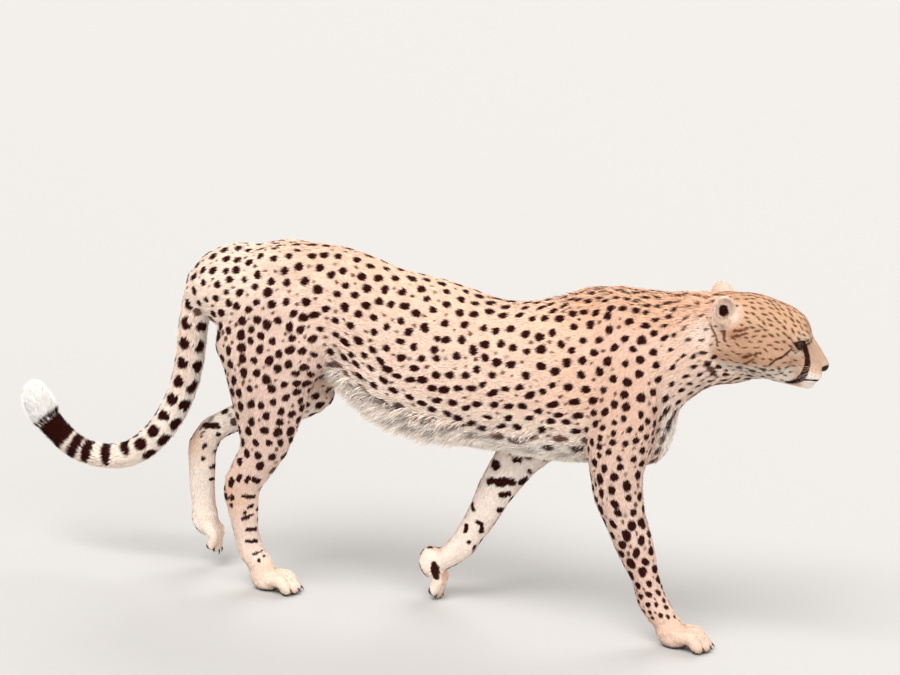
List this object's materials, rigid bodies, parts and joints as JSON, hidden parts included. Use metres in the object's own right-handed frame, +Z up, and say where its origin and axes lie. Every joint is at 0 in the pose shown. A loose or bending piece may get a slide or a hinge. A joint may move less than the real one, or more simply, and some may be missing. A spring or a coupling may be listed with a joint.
{
  "type": "cheetah figure",
  "caption": "Life-size still figure of a walking cheetah: slim trunk, long legs, small head with low round ears, belly fringe and a long tail with a tufted tip.",
  "frame": {"origin": "under the middle of the bounding box, at the level of the floor the paws stand on", "axes": "+X forward, the way the animal walks, +Y to its left, +Z up"},
  "size_m": [1.6856, 0.2148, 0.7339],
  "materials": {
    "coat": "short spotted fur",
    "pale_coat": "longer pale fur with dark rings",
    "claw": "horn",
    "eye": "wet and glossy"
  },
  "bodies": {
    "root": {"abdomen": "coat", "cannon_left": "coat", "cannon_right": "coat", "chest": "coat", "claw_forepaw_left_1": "claw", "claw_forepaw_left_2": "claw", "claw_forepaw_left_3": "claw", "claw_forepaw_left_4": "claw", "claw_forepaw_right_1": "claw", "claw_forepaw_right_2": "claw", "claw_forepaw_right_3": "claw", "claw_forepaw_right_4": "claw", "claw_hindpaw_left_1": "claw", "claw_hindpaw_left_2": "claw", "claw_hindpaw_left_3": "claw", "claw_hindpaw_left_4": "claw", "claw_hindpaw_right_1": "claw", "claw_hindpaw_right_2": "claw", "claw_hindpaw_right_3": "claw", "claw_hindpaw_right_4": "claw", "ear_left": "coat", "ear_right": "coat", "eye_left": "eye", "eye_right": "eye", "forearm_left": "coat", "forearm_right": "coat", "forepaw_left": "coat", "forepaw_right": "coat", "head": "coat", "hindpaw_left": "coat", "hindpaw_right": "coat", "neck": "coat", "pelvis": "coat", "shank_left": "coat", "shank_right": "coat", "tail_base": "coat", "tail_end": "pale_coat", "tail_middle": "pale_coat", "tail_tip": "pale_coat", "thigh_left": "coat", "thigh_right": "coat"}
  },
  "joints": []
}
